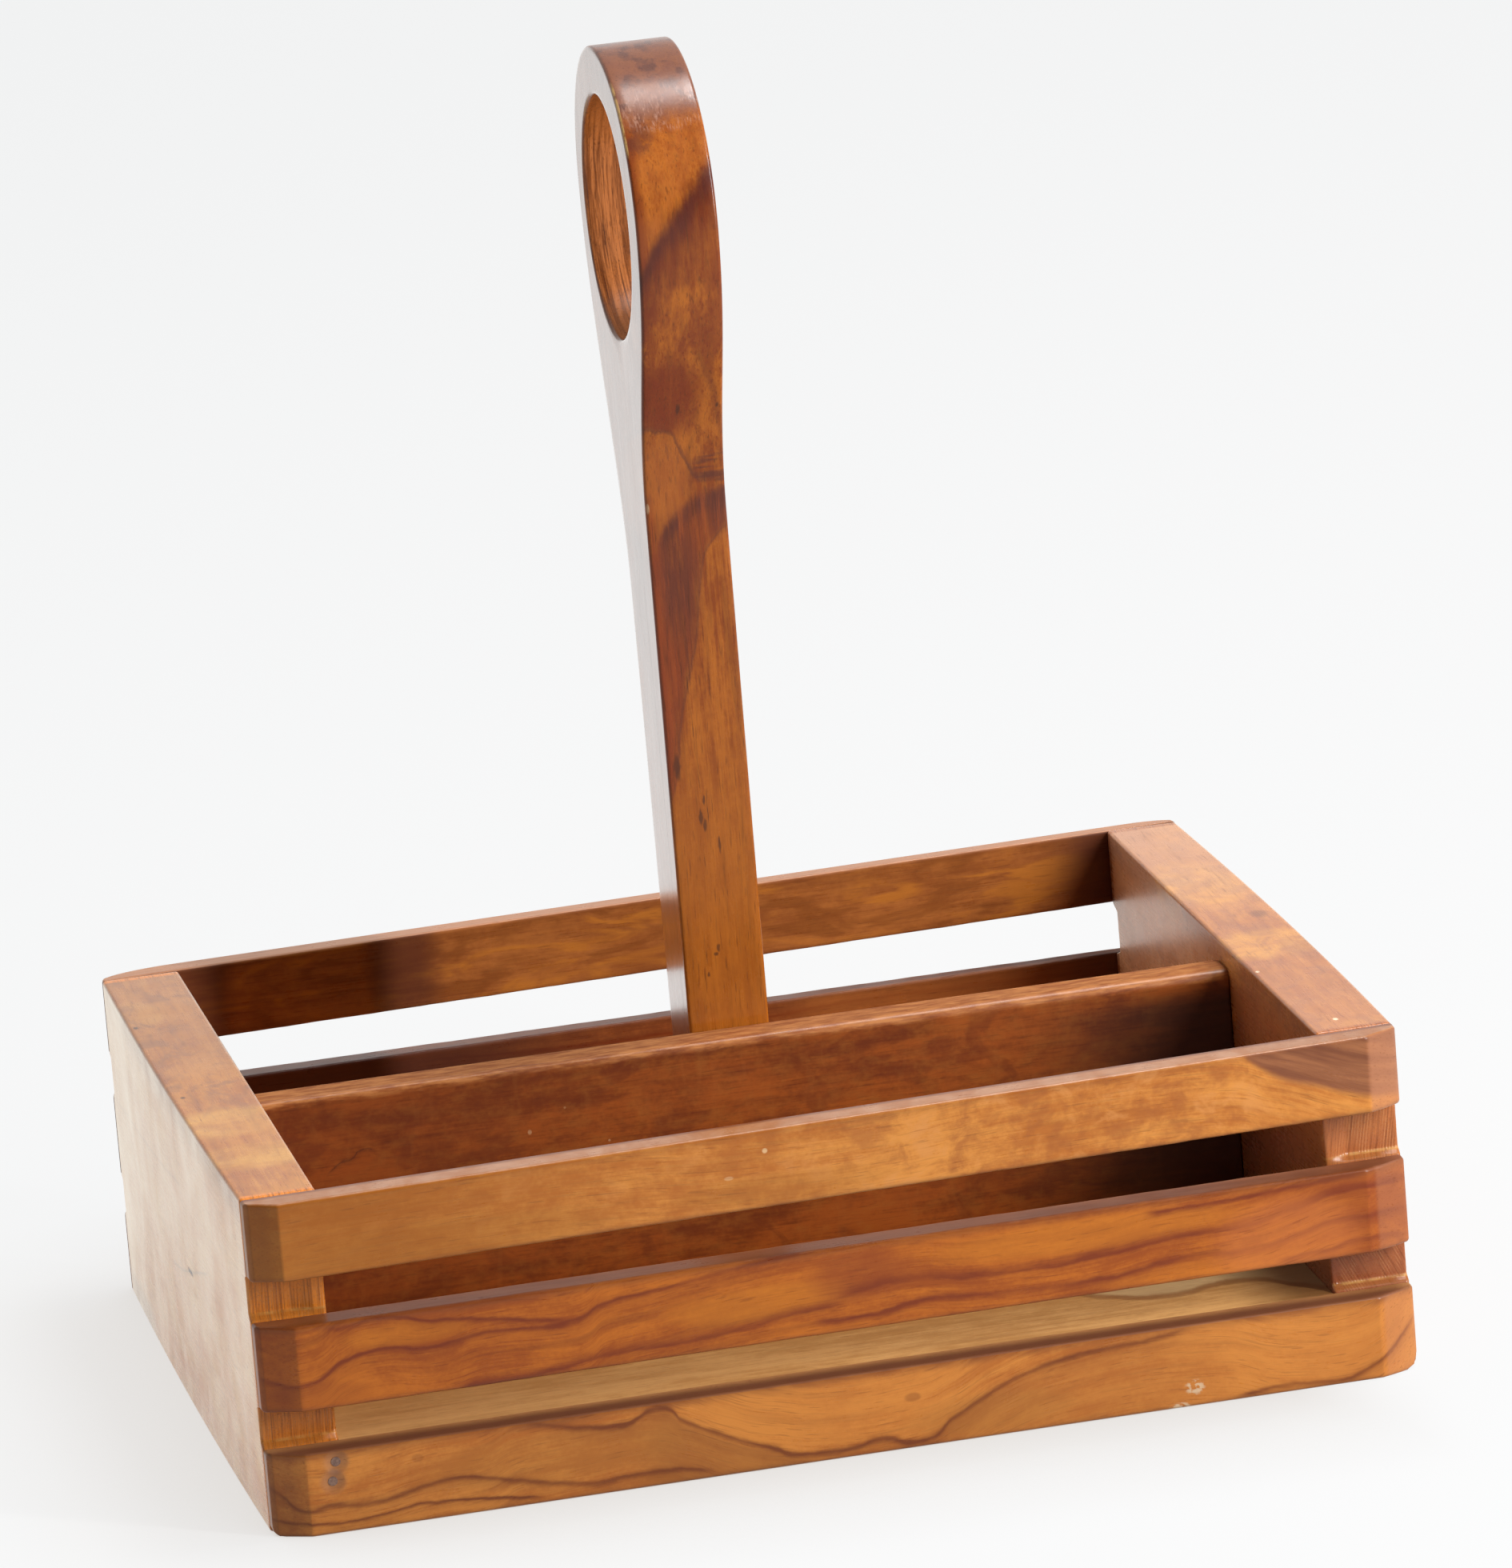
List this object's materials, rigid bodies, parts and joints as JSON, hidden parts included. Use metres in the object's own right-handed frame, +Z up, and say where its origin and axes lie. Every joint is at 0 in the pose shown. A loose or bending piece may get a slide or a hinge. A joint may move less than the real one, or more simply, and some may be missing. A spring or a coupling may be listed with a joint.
{
  "type": "wooden table caddy",
  "caption": "Open slatted wooden box with two compartments, bowed end blocks, a pale base and a tall paddle handle with an oval hand hole.",
  "frame": {"origin": "on the table under the middle of the box", "axes": "+X to the right along the slats, +Y from the front to the back, +Z up along the handle"},
  "size_m": [0.2334, 0.1718, 0.2644],
  "materials": {
    "block_wood": "satin lacquered olive-type wood, grain along the block",
    "upper_slat_wood": "satin lacquered blotchy golden wood",
    "middle_slat_wood": "satin lacquered reddish wood with dark wavy lines",
    "lower_slat_wood": "satin lacquered orange wood with dark veins",
    "divider_wood": "satin brown wood",
    "base_wood": "bare pale olive-yellow wood",
    "handle_wood": "glossy lacquered wood with dark purple-brown bands, grain along the handle",
    "steel": "dull steel fasteners"
  },
  "bodies": {
    "root": {"left_end_block": "block_wood", "right_end_block": "block_wood", "front_slat_upper": "upper_slat_wood", "front_slat_middle": "middle_slat_wood", "front_slat_lower": "lower_slat_wood", "rear_slat_upper": "upper_slat_wood", "rear_slat_middle": "middle_slat_wood", "rear_slat_lower": "lower_slat_wood", "divider": "divider_wood", "base_panel": "base_wood", "carrying_handle": "handle_wood", "handle_screw": "steel", "brad_upper": "steel", "brad_lower": "steel"}
  },
  "joints": []
}
